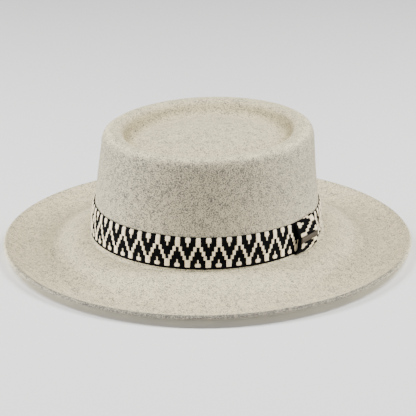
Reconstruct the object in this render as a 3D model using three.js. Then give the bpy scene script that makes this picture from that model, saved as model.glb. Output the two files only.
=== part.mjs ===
// A wool felt hat with a flat, telescope-blocked crown and a wide brim whose edge curls up.
// A woven ribbon band goes round the foot of the crown. On the wearer's left a keeper of the
// same ribbon is wrapped over the band, and a plain metal bar is pinned to the keeper.
// Millimetres, +Z up. The wearer looks along -Y, and the wearer's left is +X.
// The origin is on the surface that the brim rests on, under the middle of the whole hat.
import * as THREE from "three";

// Seen from above: half sizes of the felt's outside where the crown meets the brim.
const crownHalfWidth = 90.2;
const crownHalfLength = 96.9;
const brimSideOverhang = 73.6;
const brimEndOverhang = 70;

// Heights above the surface that the brim rests on.
const feltThickness = 2.8;
const restingPress = 0.3; // the brim's underside is pressed flat by this much
const crownFoot = 15;
const crest = 102.5;

// Ribbon, keeper and metal bar.
const pieceGap = 0.4;
const bandWidth = 26;
const bandThickness = 1.2;
const bandBottom = crownFoot + 1.6;
const bandTop = bandBottom + bandWidth;
const bandEase = 1.8; // how far the band's lower edge stands off where it is loosest
const bandLoosestAt = 138; // degrees, from the wearer's left round the front
const keeperBehind = 2.6; // degrees from the wearer's left to the keeper's middle
const keeperWidth = 28;
const keeperThickness = 2.4; // the ribbon lies double
const keeperRise = 0.8; // how far the keeper stands above the band
const keeperBulge = 1.5; // how far the middle of its face stands out
const barBehind = 3.2;
const barLength = 25.5;
const barHeight = 4.5;
const barThickness = 1.2;
const barAboveBandBottom = 11;

const segments = 64; // round the whole hat
const keeperSteps = 6;

// The felt's top surface in section, from the brim's edge to the middle of the crown.
// out: on the brim, a share of its overhang; on the crown, millimetres from the crown's foot.
const brimSection = [
  { place: "edge of the brim", out: 1, up: 9.9 },
  { place: "upper curl", out: 0.95, up: 7.8 },
  { place: "middle of the curl", out: 0.89, up: 5.7 },
  { place: "foot of the curl", out: 0.82, up: 3.7 },
  { place: "outside of the flat", out: 0.75, up: feltThickness },
  { place: "inside of the flat", out: 0.67, up: feltThickness },
  { place: "outer slope", out: 0.56, up: 4.6 },
  { place: "middle of the slope", out: 0.42, up: 8.2 },
  { place: "inner slope", out: 0.24, up: 12.6 },
  { place: "beside the crown", out: 0.085, up: 14.7 },
];
const crownSection = [
  { place: "brim side of the fold", out: 2, up: crownFoot },
  { place: "middle of the fold", out: 0.6, up: crownFoot + 0.45 },
  { place: "crown side of the fold", out: 0, up: crownFoot + 1.6 },
  { place: "middle of the band", out: -0.7, up: bandBottom + bandWidth / 2 },
  { place: "top of the keeper", out: -1.9, up: bandTop + 2 },
  { place: "lower wall", out: -3.7, up: bandTop + 20 },
  { place: "upper wall", out: -5.3, up: bandTop + 36 },
  { place: "foot of the shoulder", out: -6.4, up: crest - 13 },
  { place: "lower shoulder", out: -7.1, up: crest - 6.5 },
  { place: "upper shoulder", out: -8.9, up: crest - 2.3 },
  { place: "outside of the crest", out: -12.2, up: crest - 0.3 },
  { place: "inside of the crest", out: -17.4, up: crest },
  { place: "lip of the groove", out: -20.6, up: crest - 0.6 },
  { place: "top of the groove's wall", out: -23.2, up: crest - 2.2 },
  { place: "middle of the groove's wall", out: -25, up: crest - 5.6 },
  { place: "foot of the groove's wall", out: -27.2, up: crest - 9.4 },
  { place: "bottom of the groove", out: -31.5, up: crest - 10.8 },
  { place: "foot of the dome", out: -39.5, up: crest - 9.4 },
  { place: "side of the dome", out: -50, up: crest - 6.8 },
  { place: "shoulder of the dome", out: -62, up: crest - 4.9 },
  { place: "top of the dome", out: -77, up: crest - 3.9 },
];

const angles = Array.from({ length: segments }, (_, i) => (2 * Math.PI * i) / segments);

// A point of the hat. The angle runs from the wearer's left, round the front.
// The brim's overhang is less at the ends than at the sides. Towards the middle of the crown,
// the length shrinks faster than the width, so both end at 0.
function hatPoint(angle, { out, up }) {
  const inward = THREE.MathUtils.smoothstep(-out, 30, 70);
  const onCrown = THREE.MathUtils.lerp(1, crownHalfLength / crownHalfWidth, inward);
  const lengthwise = out > 0 ? brimEndOverhang / brimSideOverhang : onCrown;
  const x = (crownHalfWidth + out) * Math.cos(angle);
  const y = -(crownHalfLength + out * lengthwise) * Math.sin(angle);
  return new THREE.Vector3(x, y, Math.max(0, up));
}

// The same section a wall's thickness further in, moved along the section's own normal.
function undersideOf(section) {
  return section.map((row, i) => {
    const before = section[Math.max(0, i - 1)];
    const after = section[Math.min(section.length - 1, i + 1)];
    const along = new THREE.Vector2(after.out - before.out, after.up - before.up).normalize();
    const inset = along.y * feltThickness;
    return {
      out: row.out - inset,
      up: row.up + along.x * feltThickness - (i < brimSection.length ? restingPress : 0),
    };
  });
}

// Closed mesh through closed rings of points. Where the rings don't form a loop, each end is
// closed by a fan from the ring's middle.
function meshThroughRings(rings, isLoop) {
  const width = rings[0].length;
  const points = rings.flat();
  const faces = [];
  const lastPair = isLoop ? rings.length : rings.length - 1;
  for (let r = 0; r < lastPair; r += 1) {
    for (let c = 0; c < width; c += 1) {
      const [here, beside] = [r * width + c, r * width + ((c + 1) % width)];
      const step = r + 1 < rings.length ? width : -r * width;
      faces.push(here, beside, beside + step, here, beside + step, here + step);
    }
  }
  const closeEnd = (r, turned) => {
    const sum = rings[r].reduce((total, point) => total.add(point), new THREE.Vector3());
    const middle = points.push(sum.divideScalar(width)) - 1;
    for (let c = 0; c < width; c += 1) {
      const [here, beside] = [r * width + c, r * width + ((c + 1) % width)];
      faces.push(middle, ...(turned ? [beside, here] : [here, beside]));
    }
  };
  if (!isLoop) {
    closeEnd(0, true);
    closeEnd(rings.length - 1, false);
  }
  const geometry = new THREE.BufferGeometry().setFromPoints(points);
  geometry.setIndex(faces);
  geometry.computeVertexNormals();
  return geometry;
}

// Crown and brim are one wall of felt: its top surface out to the edge, then its underside back.
function feltGeometry() {
  const top = [
    ...brimSection.map((row) => ({ ...row, out: row.out * brimSideOverhang })),
    ...crownSection,
  ];
  const under = undersideOf(top);
  const roundEdge = {
    out: (top[0].out + under[0].out + feltThickness) / 2,
    up: (top[0].up + under[0].up) / 2,
  };
  const section = [...top.reverse(), roundEdge, ...under];
  const rings = section.map((row) => angles.map((angle) => hatPoint(angle, row)));
  return meshThroughRings(rings, false);
}

// How far the crown's wall stands out at a height, read from the crown's section.
function wallOut(up) {
  const i = crownSection.findIndex((row) => row.up >= up);
  const [low, high] = [crownSection[i - 1], crownSection[i]];
  return THREE.MathUtils.mapLinear(up, low.up, high.up, low.out, high.out);
}

// A strip lying on the crown's wall: its section is swept along a run of angles. Where a looseness
// is given, the strip's lower edge stands that much further off at one side of the hat, and less
// towards the strip's upper edge and the other side.
function stripGeometry(section, along, isLoop, ease = 0) {
  const rings = along.map((angle) => {
    const nearLoosest = Math.max(0, Math.cos(angle - THREE.MathUtils.degToRad(bandLoosestAt)));
    const loose = ease * nearLoosest ** 4;
    return section.map(({ off, up }) => {
      const lowered = THREE.MathUtils.lerp(0.15, 1, (bandTop - up) / bandWidth);
      return hatPoint(angle, { out: wallOut(up) + off + loose * lowered, up });
    });
  });
  return meshThroughRings(rings, isLoop);
}

function bandGeometry() {
  const [inner, outer] = [pieceGap, pieceGap + bandThickness];
  const middle = (bandBottom + bandTop) / 2;
  const section = [
    { off: outer, up: bandBottom },
    { off: outer, up: middle },
    { off: outer, up: bandTop },
    { off: inner, up: bandTop },
    { off: inner, up: middle },
    { off: inner, up: bandBottom },
  ];
  return stripGeometry(section, angles, true, bandEase);
}

const keeperAngle = -THREE.MathUtils.degToRad(keeperBehind);

// The keeper bulges a little over the band, and its top turns in above the band's edge.
function keeperGeometry() {
  const inner = pieceGap * 2 + bandThickness;
  const outer = inner + keeperThickness;
  const top = bandTop + pieceGap + keeperRise;
  const middle = (bandBottom + bandTop) / 2;
  const section = [
    { off: outer - 0.4, up: bandBottom - 0.2 },
    { off: outer + 0.6, up: bandBottom + 1.6 },
    { off: outer + keeperBulge, up: middle - 2 },
    { off: outer + 0.7, up: top - 5 },
    { off: outer - 1.1, up: top - 0.8 },
    { off: outer - 2.1, up: top },
    { off: pieceGap, up: top },
    { off: pieceGap, up: bandTop + pieceGap },
    { off: inner, up: bandTop + pieceGap },
    { off: inner + keeperBulge, up: middle },
    { off: inner, up: bandBottom - 0.2 },
  ];
  const reach = keeperWidth / 2 / crownHalfLength;
  const along = Array.from({ length: keeperSteps + 1 }, (_, i) =>
    THREE.MathUtils.lerp(keeperAngle - reach, keeperAngle + reach, i / keeperSteps),
  );
  return stripGeometry(section, along, false);
}

// A plain bar with cut corners, drawn flat: its length is x, its height y, its thickness z.
function barGeometry() {
  const [half, low, cut] = [barLength / 2, barHeight / 2, 0.8];
  const outline = new THREE.Shape([
    new THREE.Vector2(cut - half, -low),
    new THREE.Vector2(half - cut, -low),
    new THREE.Vector2(half, cut - low),
    new THREE.Vector2(half, low - cut),
    new THREE.Vector2(half - cut, low),
    new THREE.Vector2(cut - half, low),
    new THREE.Vector2(-half, low - cut),
    new THREE.Vector2(-half, cut - low),
  ]);
  return new THREE.ExtrudeGeometry(outline, { depth: barThickness, bevelEnabled: false });
}

const felt = new THREE.MeshStandardMaterial({ color: 0xc9c2b4, roughness: 0.95, metalness: 0 });
const ribbon = new THREE.MeshStandardMaterial({ color: 0x1b1a1c, roughness: 0.8, metalness: 0 });
const keeperRibbon = ribbon.clone();
const metal = new THREE.MeshStandardMaterial({ color: 0x8a8078, roughness: 0.4, metalness: 1 });

const hat = new THREE.Group();
function addPiece(name, geometry, material) {
  const piece = new THREE.Mesh(geometry, material);
  piece.name = name;
  hat.add(piece);
  return piece;
}

addPiece("felt_body", feltGeometry(), felt);
addPiece("hat_band", bandGeometry(), ribbon);
addPiece("band_keeper", keeperGeometry(), keeperRibbon);

// The bar lies upright on the keeper, with its length along the hat's side.
const bar = addPiece("keeper_bar", barGeometry(), metal);
const barAngle = -THREE.MathUtils.degToRad(barBehind);
const barUp = bandBottom + barAboveBandBottom;
const keeperFace = pieceGap * 2 + bandThickness + keeperThickness + keeperBulge;
const barOut = wallOut(barUp - barHeight / 2) + keeperFace + pieceGap;
const barAlong = hatPoint(barAngle - 0.01, { out: barOut, up: barUp })
  .sub(hatPoint(barAngle + 0.01, { out: barOut, up: barUp }))
  .normalize();
const upwards = new THREE.Vector3(0, 0, 1);
const outwards = new THREE.Vector3().crossVectors(barAlong, upwards);
bar.setRotationFromMatrix(new THREE.Matrix4().makeBasis(barAlong, upwards, outwards));
bar.position.copy(hatPoint(barAngle, { out: barOut, up: barUp }));

export default hat;
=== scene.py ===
import math

import bpy
import numpy as np
from mathutils import Matrix, Vector


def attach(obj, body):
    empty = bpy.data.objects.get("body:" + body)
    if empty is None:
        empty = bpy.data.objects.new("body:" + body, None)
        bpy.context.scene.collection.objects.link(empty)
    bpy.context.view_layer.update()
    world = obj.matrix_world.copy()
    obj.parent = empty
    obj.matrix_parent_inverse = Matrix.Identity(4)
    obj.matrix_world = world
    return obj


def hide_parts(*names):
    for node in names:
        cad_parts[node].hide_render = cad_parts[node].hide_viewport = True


# Wide-brimmed wool felt hat with a woven ribbon band, a ribbon keeper and a plain metal bar.
# Shapes are worked out in millimetres and become metres when a mesh is made.
# The wearer looks along -Y, the wearer's left is +X. Values named "...At" are degrees round the
# hat from the wearer's left through the front, so places behind the wearer's left are negative.
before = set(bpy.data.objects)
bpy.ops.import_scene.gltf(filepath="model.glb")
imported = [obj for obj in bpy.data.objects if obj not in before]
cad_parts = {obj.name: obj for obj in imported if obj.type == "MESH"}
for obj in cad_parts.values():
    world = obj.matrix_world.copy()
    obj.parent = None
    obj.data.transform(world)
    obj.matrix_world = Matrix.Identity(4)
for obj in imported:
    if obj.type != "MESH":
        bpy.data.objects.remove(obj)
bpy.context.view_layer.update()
rng = np.random.default_rng(7)
metresPerMm = 0.001


# Helpers for meshes

def smoothRise(x, start, end):
    # 0 at the start, 1 at the end and a cubic between; the end may be the smaller of the two
    t = np.clip((x - start) / (end - start), 0, 1)
    return t * t * (3 - 2 * t)


def runAlong(points):
    # distance along a line of points, from its first one
    return np.concatenate([[0], np.cumsum(np.linalg.norm(np.diff(points, axis=0), axis=1))])


def gridFaces(rows, columns, rowsLoop=False):
    # quads of a grid whose columns close into a ring; the rows close too if rowsLoop
    lastRow = rows if rowsLoop else rows - 1
    r, c = np.meshgrid(np.arange(lastRow), np.arange(columns), indexing="ij")
    nextRow = (r + 1) % rows
    nextColumn = (c + 1) % columns
    quad = [r * columns + c, r * columns + nextColumn, nextRow * columns + nextColumn, nextRow * columns + c]
    return np.stack(quad, axis=-1).reshape(-1, 4)


def fanFaces(ring, pole, turned):
    # triangles from every side of a ring to one middle point
    beside = np.roll(ring, -1)
    order = [beside, ring] if turned else [ring, beside]
    return np.stack([np.full_like(ring, pole), *order], axis=-1)


def endFans(rows, columns):
    # closes the first and last ring of a grid to one point each; these two points follow the grid's
    ring = np.arange(columns)
    return np.concatenate([
        fanFaces(ring, rows * columns, True),
        fanFaces(ring + (rows - 1) * columns, rows * columns + 1, False),
    ])


def makePiece(name, points, quads, triangles=None, uv=None, values=None):
    # points in millimetres; uv and values are one entry per point
    faceList = quads.tolist() + ([] if triangles is None else triangles.tolist())
    mesh = bpy.data.meshes.new(name)
    mesh.from_pydata((points * metresPerMm).tolist(), [], faceList)
    if uv is not None:
        corner = np.empty(len(mesh.loops), dtype=np.int32)
        mesh.loops.foreach_get("vertex_index", corner)
        layer = mesh.uv_layers.new(name="ribbonMap")
        layer.data.foreach_set("uv", uv[corner].astype(np.float32).ravel())
    for key, value in (values or {}).items():
        attribute = mesh.attributes.new(key, "FLOAT", "POINT")
        attribute.data.foreach_set("value", value.astype(np.float32))
    mesh.polygons.foreach_set("use_smooth", np.ones(len(mesh.polygons), dtype=bool))
    mesh.update()
    mesh.validate()
    piece = bpy.data.objects.new(name, mesh)
    bpy.context.scene.collection.objects.link(piece)
    return piece


# Helpers for materials

def newMaterial(name):
    material = bpy.data.materials.new(name)
    material.use_nodes = True
    return material, material.node_tree, material.node_tree.nodes["Principled BSDF"]


def addNode(tree, kind, inputs=None, **settings):
    # an input that is another node's output is linked, and any other is set as a value
    node = tree.nodes.new(kind)
    for key, value in settings.items():
        setattr(node, key, value)
    for key, value in (inputs or {}).items():
        if isinstance(value, bpy.types.NodeSocket):
            tree.links.new(value, node.inputs[key])
        else:
            node.inputs[key].default_value = value
    return node


def setSockets(shader, **values):
    for key, value in values.items():
        shader.inputs[key.replace("_", " ")].default_value = value


def mathNode(tree, operation, a, b, c=0.0):
    return addNode(tree, "ShaderNodeMath", {0: a, 1: b, 2: c}, operation=operation).outputs[0]


def meanNode(tree, a, b):
    return mathNode(tree, "MULTIPLY_ADD", a, 0.5, mathNode(tree, "MULTIPLY", b, 0.5))


def rampNode(tree, value, slope, start):
    # value times slope plus start, kept between 0 and 1
    inputs = {0: value, 1: slope, 2: start}
    return addNode(tree, "ShaderNodeMath", inputs, operation="MULTIPLY_ADD", use_clamp=True).outputs[0]


def noiseNode(tree, coordinates, scale, detail, roughness):
    inputs = {"Vector": coordinates, "Scale": scale, "Detail": detail, "Roughness": roughness}
    return addNode(tree, "ShaderNodeTexNoise", inputs).outputs[0]


def stretchedNoise(tree, coordinates, scale, detail, roughness, turn=(0.0, 0.0, 0.0)):
    # noise with a scale for each axis, turned by the angles given
    inputs = {"Vector": coordinates, "Rotation": turn, "Scale": scale}
    mapped = addNode(tree, "ShaderNodeMapping", inputs).outputs[0]
    return noiseNode(tree, mapped, 1.0, detail, roughness)


def waveNode(tree, coordinates, scale, distortion, direction):
    inputs = {"Vector": coordinates, "Scale": scale, "Distortion": distortion, "Detail": 1.0}
    settings = {"wave_type": "BANDS", "bands_direction": direction, "wave_profile": "SIN"}
    return addNode(tree, "ShaderNodeTexWave", inputs, **settings).outputs["Fac"]


def colourMix(tree, factor, first, second, blend="MIX"):
    # a Mix node set to colour has its factor and two colours at inputs 0, 6 and 7
    node = addNode(tree, "ShaderNodeMix", data_type="RGBA", blend_type=blend)
    for socket, value in zip((node.inputs[0], node.inputs[6], node.inputs[7]), (factor, first, second)):
        if isinstance(value, bpy.types.NodeSocket):
            tree.links.new(value, socket)
        else:
            socket.default_value = value
    return node.outputs[2]


def linkLook(tree, shader, colour, height, strength, depth):
    # colour and bump into the shader; depth is the height of the bumps in mm
    tree.links.new(colour, shader.inputs["Base Color"])
    inputs = {"Strength": strength, "Distance": depth * metresPerMm, "Height": height}
    bump = addNode(tree, "ShaderNodeBump", inputs)
    tree.links.new(bump.outputs[0], shader.inputs["Normal"])


# Camera

cameraSet = dict(
    turn=35.0,                    # degrees round the hat from its front, towards the wearer's left
    elevation=19.54,              # degrees above the horizon
    roll=0.12,
    distance=1500.0,
    aim=(0.0, 0.0, 56.0),
    aimPixel=(207.85, 180.68),    # where the aim lies in the photo
    pixelsPerMm=1.23,             # at the aim
    pictureSize=416,
    sensorWidth=36.0,
)


def makeCamera():
    # The camera looks at the aim, and its shift moves the aim to its pixel. The lens is the picture's
    # scale times the distance, as a share of the picture, times the sensor's width.
    w = cameraSet
    a, e = math.radians(w["turn"]), math.radians(w["elevation"])
    size = w["pictureSize"]
    outward = Vector((math.sin(a) * math.cos(e), -math.cos(a) * math.cos(e), math.sin(e)))
    data = bpy.data.cameras.new("photoCamera")
    data.sensor_width = w["sensorWidth"]
    data.lens = w["pixelsPerMm"] * w["distance"] / size * w["sensorWidth"]
    data.shift_x = (size / 2 - w["aimPixel"][0]) / size
    data.shift_y = (w["aimPixel"][1] - size / 2) / size
    data.clip_start = 0.05
    camera = bpy.data.objects.new("photoCamera", data)
    facing = outward.to_track_quat("Z", "Y").to_matrix().to_4x4()
    place = Matrix.Translation((Vector(w["aim"]) + outward * w["distance"]) * metresPerMm)
    camera.matrix_world = place @ facing @ Matrix.Rotation(math.radians(-w["roll"]), 4, "Z")
    bpy.context.scene.collection.objects.link(camera)
    bpy.context.scene.camera = camera


makeCamera()
print("camera ready")


# Felt hat: crown and brim in one wall

hat = dict(
    halfWidth=90.2,            # of the felt's outside where the crown meets the brim
    halfLength=96.9,
    sideOverhang=73.6,
    endOverhang=70.0,
    thickness=2.8,
    restingPress=0.3,          # the brim's underside is this much lower, and cut flat where it rests
    pressOut=(2, 8),           # mm out from the crown's foot over which that starts
    edgeBulge=(1.1, 0.2),      # of the cut edge at its middle, outwards and upwards
    foot=15.0,                 # height of the crown's foot
    crest=102.5,
    wallOut=(-6, 0.1),         # mm out from the foot between which the section is the crown's wall
    insetIn=(30, 70),          # mm in from the foot over which rings shrink to their oval's own ratio
    segments=480,              # round the hat
    topRows=104,               # from the brim's edge to the middle of the crown
    underRows=52,
    edgeRows=5,
    wallWaves=0.35,            # slow waves left by blocking, in mm
    wallWavesUp=(0, 30),       # they grow over these heights above the foot
    wallWavesIn=(-1, 2),       # and over these distances in from the foot
    wallWavesMiddle=(15, 60),  # and fade over these distances from the middle of the crown
    brimWaves=0.7,
    brimWavesFrom=0.76,        # share of the overhang
    footShift=-0.5,            # the crown leans: how far it is shifted at its foot and at its crest
    crestShift=0.95,
    leanAt=-35.0,
    leanUp=(58, 100),          # heights between which the shift grows
    shiftUp=(12, 17),          # heights between which it starts, from the brim to the crown
)

# out: on the brim, a share of its overhang; on the crown, mm from the crown's foot
brimSection = np.array([
    # out, up
    (1.00, 9.9),
    (0.95, 7.8),
    (0.89, 5.7),
    (0.82, 3.7),
    (0.75, 2.8),
    (0.67, 2.8),
    (0.56, 4.6),
    (0.42, 8.2),
    (0.24, 12.6),
    (0.085, 14.7),
])
rowsFromFoot = 5
crownSection = np.array([
    # out, up from the foot (first five rows) or from the crest (the rest)
    (2.0, 0.0),
    (0.6, 0.45),
    (0.0, 1.6),
    (-0.7, 14.6),
    (-1.9, 29.6),
    (-3.7, -40.1),
    (-5.3, -24.1),
    (-6.4, -13.0),
    (-7.1, -6.5),
    (-8.9, -2.3),
    (-12.2, -0.3),
    (-17.4, 0.0),
    (-20.6, -0.6),
    (-23.2, -2.2),
    (-25.0, -5.6),
    (-27.2, -9.4),
    (-31.5, -10.8),
    (-39.5, -9.4),
    (-50.0, -6.8),
    (-62.0, -4.9),
    (-77.0, -3.9),
    (-90.2, -3.6),
])


def sectionRows():
    # both tables in mm, from the brim's edge to the middle of the crown
    brim = brimSection * (hat["sideOverhang"], 1.0)
    crown = crownSection.copy()
    crown[:rowsFromFoot, 1] += hat["foot"]
    crown[rowsFromFoot:, 1] += hat["crest"]
    return np.concatenate([brim, crown])


def smoothThrough(rows, count, dense=4000):
    # cubic curve through the rows, its slope at each row the weighted mean of the slopes beside it,
    # read again at points that are evenly spaced along it
    step = np.linalg.norm(np.diff(rows, axis=0), axis=1)
    at = runAlong(rows)
    slope = np.diff(rows, axis=0) / step[:, None]
    inner = (slope[:-1] * step[1:, None] + slope[1:] * step[:-1, None]) / (step[:-1] + step[1:])[:, None]
    tangent = np.concatenate([slope[:1], inner, slope[-1:]])
    t = np.linspace(0, at[-1], dense)
    i = np.clip(np.searchsorted(at, t, side="right") - 1, 0, len(step) - 1)
    h = step[i][:, None]
    u = ((t - at[i]) / step[i])[:, None]
    curve = (
        (2 * u**3 - 3 * u**2 + 1) * rows[i]
        + (u**3 - 2 * u**2 + u) * h * tangent[i]
        + (3 * u**2 - 2 * u**3) * rows[i + 1]
        + (u**3 - u**2) * h * tangent[i + 1]
    )
    run = runAlong(curve)
    even = np.linspace(0, run[-1], count)
    return np.stack([np.interp(even, run, curve[:, 0]), np.interp(even, run, curve[:, 1])], axis=-1)


def hatPoints(angle, out, up):
    # A ring of the hat is an oval: half width + out across, half length + out times a ratio along.
    # Sine waves go round it: three and five on the wall, two and three on the brim's edge.
    w = hat
    onCrown = 1 + (w["halfLength"] / w["halfWidth"] - 1) * smoothRise(-out, *w["insetIn"])
    lengthwise = np.where(out > 0, w["endOverhang"] / w["sideOverhang"], onCrown)
    wall = w["wallWaves"] * smoothRise(up - w["foot"], *w["wallWavesUp"])
    wall = wall * smoothRise(-out, *w["wallWavesIn"])
    wall = wall * smoothRise(w["halfWidth"] + out, *w["wallWavesMiddle"])
    across = out + wall * (np.sin(3 * angle + 0.6) + 0.6 * np.sin(5 * angle + up * 0.05 + 2.1))
    lift = w["brimWaves"] * smoothRise(out, w["brimWavesFrom"] * w["sideOverhang"], w["sideOverhang"])
    lift = lift * (0.6 * np.sin(2 * angle + 1.9) + 0.4 * np.sin(3 * angle + 0.4))
    shift = w["footShift"] + (w["crestShift"] - w["footShift"]) * smoothRise(up, *w["leanUp"])
    shift = shift * smoothRise(up, *w["shiftUp"])
    lean = math.radians(w["leanAt"])
    x = (w["halfWidth"] + across) * np.cos(angle) + shift * math.cos(lean)
    y = -(w["halfLength"] + across * lengthwise) * np.sin(angle) - shift * math.sin(lean)
    z = np.maximum(0, up + lift) + 0 * x
    return np.stack([x, y, z], axis=-1)


topCurve = smoothThrough(sectionRows(), hat["topRows"])


def feltSection():
    # from the middle of the crown over the top to the brim's edge, round it and back below;
    # the underside is the top's curve moved in by the thickness
    w = hat
    under = smoothThrough(sectionRows(), w["underRows"])
    along = np.gradient(under, axis=0)
    along /= np.linalg.norm(along, axis=1)[:, None]
    press = w["restingPress"] * smoothRise(under[:, 0], *w["pressOut"])
    under = under + np.stack([-along[:, 1], along[:, 0]], axis=-1) * w["thickness"]
    under[:, 1] -= press
    under[:, 0] = np.maximum(under[:, 0], -w["halfWidth"])
    # the cut edge is half an ellipse from the top surface to the underside
    first, last = topCurve[0], under[0]
    half = np.linspace(0, np.pi, w["edgeRows"] + 2)[1:-1, None]
    bulge = np.array(w["edgeBulge"]) * np.sin(half)
    edge = (first + last) / 2 + (first - last) / 2 * np.cos(half) + bulge
    return np.concatenate([topCurve[::-1], edge, under])


# Where the felt's nap is rough and where shade is painted on the crown's wall, the brim's cut edge and the
# groove.
# The tints are fixed to the felt and don't move with the camera. "Up" is mm above the crown's foot, "In" is
# mm in from it.
feltTint = dict(
    wallUp=(2, 12),            # the wall's nap starts over these ranges
    wallIn=(-2, 0),
    wallEndIn=(6.8, 11.5),     # and ends where the crest turns in
    wallLow=0.82,              # its strength low on the wall, and the painted shade that the upper wall adds
    wallHigh=0.18,
    wallHighUp=(28, 58),
    rimOut=(-4.8, 0.4),        # mm past the brim's edge over which the rim's nap and painted shade start
    rimLeast=0.25,             # its strength all round, and the painted shade added towards rimAt
    rimMore=2.75,
    # rimAt: where the painted shade on the brim's cut edge is darkest, at the hat's front-left
    rimAt=55.0,
    rimFacing=(0.2, 0.95),     # cosine of the angle from there over which that is added
    grooveIn=(22.5, 26),
    grooveEndIn=(28, 37),
    grooveAt=-35.0,            # the painted shade in the groove is darkest here and on the opposite side
)


def feltTints(angle, out, up, onTop):
    # each tint is a product of smooth rises and falls; the nap and painted shade is the larger one of wall
    # and rim
    w = feltTint
    above = up - hat["foot"]
    # the wall's tint is rough nap and also painted shade over the crown's wall, stronger on its upper part
    wall = smoothRise(above, *w["wallUp"]) * smoothRise(-out, *w["wallIn"])
    wall = wall * (1 - smoothRise(-out, *w["wallEndIn"]))
    wall = wall * (w["wallLow"] + w["wallHigh"] * smoothRise(above, *w["wallHighUp"]))
    # painted shade on the brim's cut edge: light all round and far darker towards the front-left
    facing = smoothRise(np.cos(angle - math.radians(w["rimAt"])), *w["rimFacing"])
    rimStart, rimEnd = (hat["sideOverhang"] + past for past in w["rimOut"])
    rim = smoothRise(out, rimStart, rimEnd) * (w["rimLeast"] + w["rimMore"] * facing)
    # painted shade in the groove of the crown's top, darkest at two opposite sides
    paintedGrooveShade = smoothRise(-out, *w["grooveIn"]) * (1 - smoothRise(-out, *w["grooveEndIn"])) * onTop
    paintedGrooveShade = paintedGrooveShade * np.cos(angle - math.radians(w["grooveAt"]))**2
    return {"napAndPaintedShade": np.maximum(wall, rim), "paintedGrooveShade": paintedGrooveShade}


def makeFelt():
    # each point of the section is carried round the hat as a ring, and the two middles are closed
    w = hat
    section = feltSection()
    angle = np.linspace(0, 2 * np.pi, w["segments"], endpoint=False)
    out, up = section[1:-1, 0][:, None], section[1:-1, 1][:, None]
    points = hatPoints(angle[None, :], out, up)
    rows, columns = points.shape[:2]
    poles = [[0, 0, section[0, 1]], [0, 0, section[-1, 1]]]
    points = np.concatenate([points.reshape(-1, 3), poles])
    onTop = np.arange(rows)[:, None] < w["topRows"] - 1
    tints = feltTints(angle, out, up, onTop)
    values = {key: np.concatenate([value.ravel(), [0, 0]]) for key, value in tints.items()}
    piece = makePiece("felt_hat", points, gridFaces(rows, columns), endFans(rows, columns), values=values)
    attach(piece, "root")
    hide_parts("felt_body")
    return piece


feltLook = dict(
    pale=(0.81, 0.715, 0.452, 1),
    dark=(0.17, 0.16, 0.135, 1),
    warm=(0.62, 0.53, 0.33, 1),
    wall=(0.53, 0.485, 0.375, 1),
    # wallShade is painted shade for the crown's wall and the brim's cut edge; grooveShade is painted shade
    # in the groove
    wallShade=(0.59, 0.59, 0.61, 1),
    grooveShade=(0.78, 0.75, 0.68, 1),
    fineScale=1250.0,          # scales are per metre
    streakScale=(480.0, 1500.0, 1500.0),
    streakTurns=[(0.4, 0.3, 0.5), (1.3, 0.2, 2.2), (0.2, 1.2, 3.7)],
    tuftScale=200.0,
    patchScale=45.0,
    fineShare=0.7,
    streakShare=0.5,
    tuftShare=0.22,
    meanGrain=0.6575,
    contrast=10.5,             # of the fibres, and what the nap adds
    napContrast=3.0,
    level=0.74,                # share of pale wool at the mean grain, and what the nap and painted shade take away
    napAndShadeLevel=-0.24,
    warmShare=0.45,            # of the warm colour in the patches
    wallShare=0.25,            # of the darker wall colour where the nap is rough and shade is painted
)


def feltMaterial():
    # Pale wool with darker fibres. Its grain adds up fine noise, the darkest of three sets of short
    # streaks and tufts a few mm wide. A ramp turns it into shares of dark and pale, and the nap and painted
    # shade make the ramp steeper and lower. Wide patches drift a little warmer. Painted shade is multiplied
    # in on the crown's wall, the brim's cut edge and the groove.
    w = feltLook
    material, tree, shader = newMaterial("woolFelt")
    place = addNode(tree, "ShaderNodeTexCoord").outputs["Object"]
    napAndPaintedShade = addNode(tree, "ShaderNodeAttribute", attribute_name="napAndPaintedShade").outputs["Fac"]
    paintedGrooveShade = addNode(tree, "ShaderNodeAttribute", attribute_name="paintedGrooveShade").outputs["Fac"]
    fine = noiseNode(tree, place, w["fineScale"], 2.0, 0.7)
    streaks = [stretchedNoise(tree, place, w["streakScale"], 1.0, 0.5, turn) for turn in w["streakTurns"]]
    darkest = mathNode(tree, "MINIMUM", streaks[0], mathNode(tree, "MINIMUM", streaks[1], streaks[2]))
    tufts = noiseNode(tree, place, w["tuftScale"], 3.0, 0.7)
    grain = mathNode(tree, "MULTIPLY", darkest, w["streakShare"])
    grain = mathNode(tree, "MULTIPLY_ADD", fine, w["fineShare"], grain)
    grain = mathNode(tree, "MULTIPLY_ADD", tufts, w["tuftShare"], grain)
    contrast = mathNode(tree, "MULTIPLY_ADD", napAndPaintedShade, w["napContrast"], w["contrast"])
    level = mathNode(tree, "MULTIPLY_ADD", napAndPaintedShade, w["napAndShadeLevel"], w["level"])
    share = rampNode(tree, mathNode(tree, "SUBTRACT", grain, w["meanGrain"]), contrast, level)
    patches = noiseNode(tree, place, w["patchScale"], 3.0, 0.6)
    wool = colourMix(tree, mathNode(tree, "MULTIPLY", patches, w["warmShare"]), w["pale"], w["warm"])
    wool = colourMix(tree, mathNode(tree, "MULTIPLY", napAndPaintedShade, w["wallShare"]), wool, w["wall"])
    colour = colourMix(tree, share, w["dark"], wool)
    # painted shade: darker where the nap and shade attribute is, and in the groove
    colour = colourMix(tree, napAndPaintedShade, colour, w["wallShade"], "MULTIPLY")
    colour = colourMix(tree, paintedGrooveShade, colour, w["grooveShade"], "MULTIPLY")
    linkLook(tree, shader, colour, grain, strength=0.5, depth=0.4)
    setSockets(shader, Roughness=0.95, Specular_IOR_Level=0.1, Sheen_Weight=0.05, Sheen_Roughness=0.6)
    return material


feltHat = makeFelt()
feltHat.data.materials.append(feltMaterial())
print("felt hat ready")


# Woven ribbon band

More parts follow.
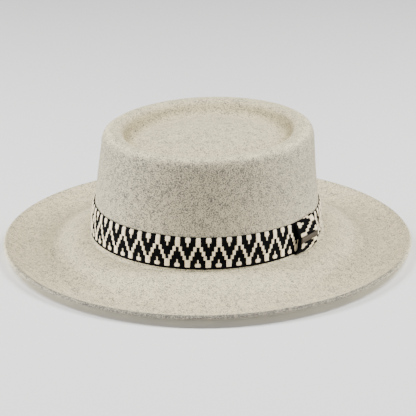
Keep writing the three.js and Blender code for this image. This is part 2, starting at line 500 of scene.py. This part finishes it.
ribbon = dict(
    # the black ground reaches about 2 mm below the pattern; that dark lower margin is partly selvage and
    # partly stands in for shade under the band
    width=26.0,
    bottom=16.4,               # height of its lower edge
    lift=0.45,                 # mean lift of the band, and how much more or less at its two sides
    liftAtSide=1.2,
    lowestAt=-35.0,
    drawnIn=0.09,              # share of its width that it is drawn together behind the keeper
    drawnInAt=-22.0,
    drawnInOver=27.0,          # degrees to each side
    offWall=0.3,
    thickness=1.1,
    selvage=0.4,               # width over which each edge rounds off
    topOff=0.55,               # share of its distance from the wall that the upper edge keeps
    topOffOver=(-0.5, 3.0),    # mm from the upper edge over which it comes back to the full distance
    ease=1.8,                  # how far the lower edge stands off the wall where it is loosest
    easeAtTop=0.15,            # share of that at the upper edge
    loosestAt=138.0,
    segments=576,
    faceColumns=26,
    backColumns=10,
    repeats=36.64,             # the seam is under the keeper
    phase=-1.38,               # how far the pattern is moved along the band
    skew=0.022,                # how much further along the pattern's lower edge lies, per mm of width
    leftOut=(9.5, 9.0),        # yarns nearer than this to the seam and to the upper edge are left out
)

yarn = dict(
    pitch=0.78,                # between neighbouring cream yarns
    rise=0.38,
    halfWidth=0.52,            # share of the pitch
    endWidth=0.7,              # how far its sides draw in at an end that comes to nothing
    lengthVaries=0.05,
    riseVaries=0.08,
    shortest=0.5,              # yarns that the ribbon's ends cut shorter than this are left out
)

# One repeat of the cream pattern. Along is where the middle is, as a share of the repeat; wide is a
# share of the repeat too; top and bottom are mm from the ribbon's upper edge.
# The last two columns say how much of its width the first and last yarn keeps.
patternParts = np.array([
    # along, wide, top, bottom, firstYarn, lastYarn
    (0.000, 0.230, 0.2, 7.6, 0.85, 1.00),      # upper block
    (0.153, 0.140, 7.6, 11.2, 1.00, 1.00),     # steps down, both sides
    (-0.153, 0.140, 7.6, 11.2, 1.00, 1.00),
    (0.257, 0.142, 11.2, 14.8, 1.00, 1.00),
    (-0.257, 0.142, 11.2, 14.8, 1.00, 1.00),
    (0.347, 0.140, 14.8, 18.3, 1.00, 1.00),
    (-0.347, 0.140, 14.8, 18.3, 1.00, 1.00),
    (0.500, 0.256, 18.3, 24.2, 1.00, 0.92),    # lower block
    (0.500, 0.250, 0.3, 4.2, 0.85, 0.85),      # cap and its stem
    (0.500, 0.075, 4.2, 7.4, 1.00, 1.00),
    (0.000, 0.060, 18.0, 21.2, 1.00, 1.00),    # stem and its foot
    (0.000, 0.268, 21.2, 24.0, 0.85, 0.82),
])


def wallOut(up):
    # how far the crown's wall stands out at a height, from the hat's own section
    innermost, outermost = hat["wallOut"]
    wall = np.flatnonzero((topCurve[:, 0] < outermost) & (topCurve[:, 0] > innermost))
    return np.interp(up, topCurve[wall, 1], topCurve[wall, 0])


def bandEase(angle, v):
    # the ribbon is loosest at one side, more at its lower edge than at its upper one:
    # the fourth power of a cosine round the hat, times a straight line down the ribbon
    w = ribbon
    lobe = np.maximum(0, np.cos(angle - math.radians(w["loosestAt"])))**4
    return w["ease"] * lobe * (w["easeAtTop"] + (1 - w["easeAtTop"]) * v / w["width"])


bandFace = ribbon["offWall"] + ribbon["thickness"]


def angleAlongBand(count=7201):
    # distance round the band's outer face at mid height, with the angle it belongs to
    angle = np.linspace(0, 2 * np.pi, count)
    up = ribbon["bottom"] + ribbon["width"] / 2
    out = wallOut(up) + bandFace + bandEase(angle, ribbon["width"] / 2)
    return runAlong(hatPoints(angle, out, up)), angle


bandRun, bandAngle = angleAlongBand()
bandPeriod = bandRun[-1] / ribbon["repeats"]
print("band length", round(float(bandRun[-1]), 1), "repeat", round(float(bandPeriod), 2))


def onBand(s, v, off):
    # s along the band from the wearer's left through the front, v down from the upper edge,
    # off the wall; the width shrinks by a bell curve round the place behind the keeper
    w = ribbon
    angle = np.interp(np.mod(s + w["skew"] * v, bandRun[-1]), bandRun, bandAngle)
    lift = w["lift"] - w["liftAtSide"] * np.cos(angle - math.radians(w["lowestAt"]))
    behindKeeper = np.remainder(angle - math.radians(w["drawnInAt"]) + np.pi, 2 * np.pi) - np.pi
    drawnIn = w["drawnIn"] * np.exp(-(behindKeeper / math.radians(w["drawnInOver"]))**2)
    up = w["bottom"] + (w["width"] - v) * (1 - drawnIn) + lift
    # the upper selvage lies closer to the wall and is thinner
    off = off * (w["topOff"] + (1 - w["topOff"]) * smoothRise(v, *w["topOffOver"]))
    return hatPoints(angle, wallOut(up) + off + bandEase(angle, v), up)


def yarnRows(period, start, end):
    # every cream yarn between two places along the ribbon: its middle, half length and distance
    # from the ribbon's edge. Each part of the repeat is filled with yarns a pitch apart.
    middle, half, across = [], [], []
    firstRepeat, lastRepeat = math.floor(start / period) - 1, math.ceil(end / period) + 1
    for along, wide, top, bottom, firstYarn, lastYarn in patternParts:
        count = max(2, round((bottom - top) / yarn["pitch"]))
        place = top + (np.arange(count) + 0.5) / count * (bottom - top)
        share = np.ones(count)
        share[0], share[-1] = firstYarn, lastYarn
        for repeat in range(firstRepeat, lastRepeat + 1):
            middle.append(np.full(count, (repeat + along) * period))
            half.append(share * wide * period / 2)
            across.append(place)
    middle, half, across = (np.concatenate(a) for a in (middle, half, across))
    half = half * (1 + rng.uniform(-yarn["lengthVaries"], yarn["lengthVaries"], len(half)))
    low, high = np.maximum(middle - half, start), np.minimum(middle + half, end)
    keep = high - low > yarn["shortest"]
    return np.array([(low[keep] + high[keep]) / 2, (high[keep] - low[keep]) / 2, across[keep]])


def makeYarns(name, rows, place, phase, base):
    # A yarn is a low half-round bar with a flat underside sunk into the ribbon. Its rise falls off
    # and its sides draw in towards both ends, by how full it is at each ring.
    w = yarn
    middle, half, across = (values[:, None, None] for values in rows)
    ringAt = np.array([-1.0, -0.88, -0.45, 0.45, 0.88, 1.0])[:, None]
    fullness = np.array([0.30, 0.88, 1.0, 1.0, 0.88, 0.30])[:, None]
    turn = np.linspace(0, 1, 5) * np.pi
    side = np.concatenate([-np.cos(turn), [0.75, -0.75]])
    rise = np.concatenate([np.sin(turn), [-0.3, -0.3]])
    varied = w["rise"] * (1 + rng.uniform(-w["riseVaries"], w["riseVaries"], rows.shape[1]))
    s = phase + middle + half * ringAt
    v = across + w["pitch"] * w["halfWidth"] * side * (w["endWidth"] + (1 - w["endWidth"]) * fullness)
    up = varied[:, None, None] * rise * fullness
    s, v, up = np.broadcast_arrays(s, v, up)
    points = place(s, v, base + up)
    yarns, rings, columns = points.shape[:3]
    fan = np.arange(columns)[1:-1]
    caps = np.concatenate([
        fanFaces(fan, 0, True)[:-1],
        fanFaces(fan + (rings - 1) * columns, (rings - 1) * columns, False)[:-1],
    ])
    offset = np.arange(yarns)[:, None, None] * rings * columns
    quads = (gridFaces(rings, columns)[None] + offset).reshape(-1, 4)
    caps = (caps[None] + offset).reshape(-1, 3)
    uv = np.stack([s, v], axis=-1).reshape(-1, 2)
    return makePiece(name, points.reshape(-1, 3), quads, caps, uv=uv)


def makeBand():
    # a thin closed section with round selvages, carried round the crown
    w = ribbon
    selvage, inner, halfThick = w["selvage"], w["offWall"], w["thickness"] / 2
    top, bottom = selvage, w["width"] - selvage
    face = np.linspace(top, bottom, w["faceColumns"])
    back = np.linspace(bottom, top, w["backColumns"])
    turn = np.linspace(0, np.pi, 5)[1:-1]
    section = np.concatenate([
        np.stack([face, np.full_like(face, bandFace)], axis=-1),
        np.stack([bottom + selvage * np.sin(turn), inner + halfThick * (1 + np.cos(turn))], axis=-1),
        np.stack([back, np.full_like(back, inner)], axis=-1),
        np.stack([top - selvage * np.sin(turn), inner + halfThick * (1 - np.cos(turn))], axis=-1),
    ])
    s = np.linspace(0, bandRun[-1], w["segments"], endpoint=False)
    points = onBand(s[:, None], section[None, :, 0], section[None, :, 1])
    uv = np.stack(np.broadcast_arrays(s[:, None], section[None, :, 0]), axis=-1).reshape(-1, 2)
    quads = gridFaces(w["segments"], len(section), rowsLoop=True)[:, ::-1]
    piece = makePiece("ribbon_band", points.reshape(-1, 3), quads, uv=uv)
    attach(piece, "root")
    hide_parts("hat_band")
    return piece


bandPiece = makeBand()
# the cap that the keeper's front edge would cut in two is left out
bandRows = yarnRows(bandPeriod, 0.0, bandRun[-1] - 0.01)
nearSeam, nearTop = ribbon["leftOut"]
bandRows = bandRows[:, (bandRows[0] > nearSeam) | (bandRows[2] > nearTop)]
bandYarns = makeYarns("band_pattern", bandRows, onBand, ribbon["phase"], bandFace)
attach(bandYarns, "root")


# Keeper: the same ribbon turned a quarter, wrapped over the band

# "Up" is mm above the band's lower edge
keeper = dict(
    middleAt=-2.9,
    askew=1.7,                 # how much further back its lower edge is, in mm
    askewUp=(22, -2),          # heights over which that grows, downwards
    flare=4.0,                 # how far the lower front corner reaches out to the front, in mm; the black corner is partly turned-under ribbon and partly stands in for shadow below the keeper
    flareUp=(4.5, -0.5),
    flareAcross=(12, 0),       # mm from the front selvage over which the flare grows, towards it
    border=2.0,                # plain black ribbon before the pattern, on the front selvage
    width=28.0,
    thickness=2.0,
    roundOver=1.1,             # width over which each selvage rounds off, and by how much
    roundBy=0.75,
    followUp=(17, 60),         # heights of the wall that it follows, above the ground
    markUp=1.0,                # low on the front face, where the distance along it is this height
    rows=90,
    columns=41,
    evenShare=0.65,            # of the columns' spacing; the rest crowds them towards the selvages
    period=17.6,
    blockUp=14.1,              # of a block of the pattern on the front selvage
    patternUp=(-0.6, 26.6),
)

keeperPath = np.array([
    # off the wall, up from the band's lower edge
    (0.6, 0.4),
    (1.6, -0.4),
    (3.4, -0.6),
    (4.8, 0.5),
    (5.6, 3.5),
    (6.0, 8.5),
    (5.9, 13.6),
    (4.9, 18.4),
    (3.6, 22.0),
    (2.6, 23.9),
    (1.8, 24.7),
    (0.6, 24.8),
])
keeperCurve = smoothThrough(keeperPath, 400)
keeperRun = runAlong(keeperCurve)
keeperTangent = np.gradient(keeperCurve, axis=0)
keeperTangent /= np.linalg.norm(keeperTangent, axis=1)[:, None]
lowHalf = keeperCurve[:len(keeperCurve) // 2, 1]
keeperZero = keeperRun[np.argmin(abs(lowHalf - keeper["markUp"]))] - keeper["markUp"]


def onKeeper(s, v, off):
    # s is the height above the band's lower edge on the front face, carried on over both turns;
    # v goes from the front selvage to the back one; off is measured from the outer face
    w = keeper
    run = s + keeperZero
    outAt = np.interp(run, keeperRun, keeperCurve[:, 0])
    upAt = np.interp(run, keeperRun, keeperCurve[:, 1])
    normalOut = np.interp(run, keeperRun, keeperTangent[:, 1])
    normalUp = np.interp(run, keeperRun, -keeperTangent[:, 0])
    edge = np.clip(1 - np.minimum(v, w["width"] - v) / w["roundOver"], 0, 1)
    off = off - w["roundBy"] * (1 - np.sqrt(np.maximum(0, 1 - edge**2)))
    back = w["askew"] * smoothRise(upAt, *w["askewUp"])
    back = back - w["flare"] * smoothRise(upAt, *w["flareUp"]) * smoothRise(v, *w["flareAcross"])
    angle = math.radians(w["middleAt"]) + (w["width"] / 2 - v - back) / hat["halfLength"]
    up = ribbon["bottom"] + upAt + normalUp * off
    return hatPoints(angle, wallOut(np.clip(up, *w["followUp"])) + outAt + normalOut * off, up)


def makeKeeper():
    # an outer and an inner face that meet at both selvages, with the two cut ends closed
    w = keeper
    s = np.linspace(-keeperZero, -keeperZero + keeperRun[-1], w["rows"])
    even = np.linspace(0, w["width"], w["columns"])
    crowded = w["width"] * (0.5 - 0.5 * np.cos(np.linspace(0, np.pi, w["columns"])))
    across = crowded * (1 - w["evenShare"]) + even * w["evenShare"]
    outer = onKeeper(s[:, None], across[None, :], 0.0)
    inner = onKeeper(s[:, None], across[None, ::-1], -w["thickness"] + w["roundBy"])
    points = np.concatenate([outer, inner], axis=1)
    rows, columns = points.shape[:2]
    ends = [points[0].mean(axis=0), points[-1].mean(axis=0)]
    points = np.concatenate([points.reshape(-1, 3), ends])
    sheetS = np.repeat(s, columns)
    sheetV = np.tile(np.concatenate([across, across[::-1]]), rows)
    endMap = [[s[0], w["width"] / 2], [s[-1], w["width"] / 2]]
    uv = np.concatenate([np.stack([sheetS, sheetV], axis=-1), endMap])
    piece = makePiece("ribbon_keeper", points, gridFaces(rows, columns), endFans(rows, columns), uv=uv)
    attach(piece, "root")
    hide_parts("band_keeper")
    return piece


keeperPiece = makeKeeper()
patternStart, patternEnd = (up - keeper["blockUp"] for up in keeper["patternUp"])
keeperYarns = makeYarns(
    "keeper_pattern",
    yarnRows(keeper["period"], patternStart, patternEnd),
    lambda s, v, off: onKeeper(s, v + keeper["border"], off),
    keeper["blockUp"],
    0.0,
)
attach(keeperYarns, "root")


# Ribbon materials

ribbonLook = dict(
    black=(0.0015, 0.0015, 0.002, 1),
    blackThread=(0.006, 0.0055, 0.006, 1),
    rowScale=0.4,              # scales are per mm on the ribbon's own map
    ribScale=0.55,
    cream=(1.0, 0.86, 0.57, 1),
    creamShade=(0.68, 0.51, 0.29, 1),
    fibreScale=(1.2, 6.0, 1.0),
    patchScale=0.8,
)


def blackRibbonMaterial():
    # rows of thread along the ribbon times ribs across it
    w = ribbonLook
    material, tree, shader = newMaterial("blackRibbon")
    ribbonMap = addNode(tree, "ShaderNodeUVMap", uv_map="ribbonMap").outputs[0]
    rows = waveNode(tree, ribbonMap, w["rowScale"], 0.6, "Y")
    ribs = waveNode(tree, ribbonMap, w["ribScale"], 0.8, "X")
    weave = mathNode(tree, "MULTIPLY", rows, ribs)
    colour = colourMix(tree, weave, w["black"], w["blackThread"])
    linkLook(tree, shader, colour, weave, strength=0.7, depth=0.3)
    setSockets(shader, Roughness=0.9, Specular_IOR_Level=0.03)
    return material


def creamYarnMaterial():
    # fine fibres along each yarn, darker in places
    w = ribbonLook
    material, tree, shader = newMaterial("creamYarn")
    ribbonMap = addNode(tree, "ShaderNodeUVMap", uv_map="ribbonMap").outputs[0]
    fibres = stretchedNoise(tree, ribbonMap, w["fibreScale"], 2.0, 0.6)
    patches = noiseNode(tree, ribbonMap, w["patchScale"], 1.0, 0.5)
    share = rampNode(tree, meanNode(tree, patches, fibres), 4.5, -1.5)
    colour = colourMix(tree, share, w["creamShade"], w["cream"])
    linkLook(tree, shader, colour, fibres, strength=0.4, depth=0.2)
    setSockets(shader, Roughness=0.5, Specular_IOR_Level=0.6, Sheen_Weight=1.0, Sheen_Roughness=0.4)
    return material


blackRibbon = blackRibbonMaterial()
creamYarn = creamYarnMaterial()
bandPiece.data.materials.append(blackRibbon)
keeperPiece.data.materials.append(blackRibbon)
bandYarns.data.materials.append(creamYarn)
keeperYarns.data.materials.append(creamYarn)
print("ribbon ready")


# Plain metal bar on the keeper

bar = dict(
    middleAt=-2.0,
    length=25.5,
    height=4.5,
    thickness=1.2,
    above=11.0,                # of its middle, above the band's lower edge
    offWall=6.4,               # of its back face
    raised=2.7,                # degrees that its front end is turned up
    cornerRadius=0.6,
    edgeRadius=0.3,
    sides=32,                  # round the section
    endRings=7,
    middleRings=11,
)


def barRings():
    # A rounded box: the section is a rectangle with round corners, and towards both ends its height
    # and thickness draw in along a quarter circle. Returned as places along, up and out.
    w = bar
    halfLength, halfHeight, halfThick = w["length"] / 2, w["height"] / 2, w["thickness"] / 2
    corner, edge = w["cornerRadius"], w["edgeRadius"]
    turn = np.linspace(0, 2 * np.pi, w["sides"], endpoint=False) + np.pi / w["sides"]
    sideUp = np.sign(np.sin(turn)) * (halfHeight - edge) + np.sin(turn) * edge
    sideOut = np.sign(np.cos(turn)) * (halfThick - edge) + np.cos(turn) * edge
    endTurn = np.linspace(0, np.pi / 2, w["endRings"])[::-1]
    endPlace = halfLength - corner * (1 - np.sin(endTurn))
    drawIn = corner * (1 - np.cos(endTurn))
    middle = np.linspace(corner - halfLength, halfLength - corner, w["middleRings"] + 2)[1:-1]
    place = np.concatenate([-endPlace, middle, endPlace[::-1]])
    heightCut = np.concatenate([drawIn, np.zeros(len(middle)), drawIn[::-1]])[:, None]
    thickCut = np.minimum(heightCut, edge)
    return np.broadcast_arrays(
        place[:, None],
        sideUp * (1 - heightCut / halfHeight),
        sideOut * (1 - thickCut / halfThick),
    )


def makeBar():
    # the rings are set along a line that touches the crown's own ring, with the front end raised
    w = bar
    along, upwards, outwards = barRings()
    up = ribbon["bottom"] + w["above"]
    out = wallOut(up) + w["offWall"] + w["thickness"] / 2
    middleAngle = math.radians(w["middleAt"])
    centre = hatPoints(np.array(middleAngle), np.array(out), np.array(up))
    behind = hatPoints(np.array(middleAngle - 0.01), np.array(out), np.array(up))
    vertical = np.array((0.0, 0.0, 1.0))
    alongBar = (behind - centre) / np.linalg.norm(behind - centre)
    outward = np.cross(alongBar, vertical)
    outward /= np.linalg.norm(outward)
    raised = math.radians(w["raised"])
    alongBar = alongBar * math.cos(raised) - vertical * math.sin(raised)
    upward = np.cross(outward, alongBar)
    points = centre + along[..., None] * alongBar + upwards[..., None] * upward
    points = points + outwards[..., None] * outward
    rows, columns = along.shape
    ends = [points[0].mean(axis=0), points[-1].mean(axis=0)]
    endMap = [[-w["length"] / 2, 0], [w["length"] / 2, 0]]
    uv = np.concatenate([np.stack([along, upwards], axis=-1).reshape(-1, 2), endMap])
    points = np.concatenate([points.reshape(-1, 3), ends])
    piece = makePiece("metal_bar", points, gridFaces(rows, columns), endFans(rows, columns), uv=uv)
    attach(piece, "root")
    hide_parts("keeper_bar")
    return piece


barLook = dict(
    dark=(0.030, 0.024, 0.018, 1),
    pale=(0.075, 0.062, 0.048, 1),
    brushScale=(0.35, 9.0, 1.0),    # per mm, along the bar and across it
    spotScale=0.7,
    roughness=0.48,                 # and what the brushing adds
    brushRoughness=0.25,
)


def barMaterial():
    # fine brushing along the bar and a few darker spots
    w = barLook
    material, tree, shader = newMaterial("satinMetal")
    barMap = addNode(tree, "ShaderNodeUVMap", uv_map="ribbonMap").outputs[0]
    brushed = stretchedNoise(tree, barMap, w["brushScale"], 3.0, 0.6)
    spots = noiseNode(tree, barMap, w["spotScale"], 2.0, 0.6)
    share = rampNode(tree, meanNode(tree, spots, brushed), 2.2, -0.6)
    colour = colourMix(tree, share, w["dark"], w["pale"])
    linkLook(tree, shader, colour, brushed, strength=0.15, depth=0.1)
    rough = mathNode(tree, "MULTIPLY_ADD", brushed, w["brushRoughness"], w["roughness"])
    tree.links.new(rough, shader.inputs["Roughness"])
    setSockets(shader, Metallic=1.0)
    return material


barPiece = makeBar()
barPiece.data.materials.append(barMaterial())
print("bar ready")


# Floor and light

# Places and sizes in metres, with the camera straight in front along -Y
studio = dict(
    floor=(0.90, 0.90, 0.895, 1),
    floorReach=6000.0,         # mm from its middle to its sides
    world=(1.0, 0.995, 0.985, 1),
    worldStrength=0.02,
    aimUp=0.05,                # all lights point at this height over the hat's middle
    lights={
        # name: place, width and height, power
        "leftSoftbox": ((-0.8, 0.0, 1.30), (0.4, 0.8), 28.0),
        "rightSoftbox": ((0.8, 0.0, 1.30), (0.4, 0.8), 31.0),
        "leftStrip": ((-1.1, 0.0, 0.055), (1.2, 0.1), 29.0),
        "rightStrip": ((1.1, 0.0, 0.055), (1.2, 0.1), 20.5),
        "frontFill": ((0.0, -1.3, 0.25), (0.6, 0.3), 6.5),
    },
)


def makeStudio():
    w = studio
    corners = np.array([(-1, -1, 0), (1, -1, 0), (1, 1, 0), (-1, 1, 0)]) * w["floorReach"]
    floor = makePiece("floor", corners, np.array([[0, 1, 2, 3]]))
    material, tree, shader = newMaterial("paleFloor")
    setSockets(shader, Base_Color=w["floor"], Roughness=0.9, Specular_IOR_Level=0.1)
    floor.data.materials.append(material)
    world = bpy.data.worlds.new("studio")
    world.use_nodes = True
    background = world.node_tree.nodes["Background"]
    background.inputs[0].default_value = w["world"]
    background.inputs[1].default_value = w["worldStrength"]
    bpy.context.scene.world = world
    a = math.radians(cameraSet["turn"])
    for name, ((x, y, z), size, power) in w["lights"].items():
        data = bpy.data.lights.new(name, "AREA")
        data.shape = "RECTANGLE"
        data.size, data.size_y = size
        data.energy = power
        light = bpy.data.objects.new(name, data)
        # the place is turned round the hat by the camera's turn
        spot = Vector((x * math.cos(a) - y * math.sin(a), x * math.sin(a) + y * math.cos(a), z))
        facing = (spot - Vector((0, 0, w["aimUp"]))).to_track_quat("Z", "Y").to_matrix().to_4x4()
        light.matrix_world = Matrix.Translation(spot) @ facing
        bpy.context.scene.collection.objects.link(light)


makeStudio()
print("studio ready")
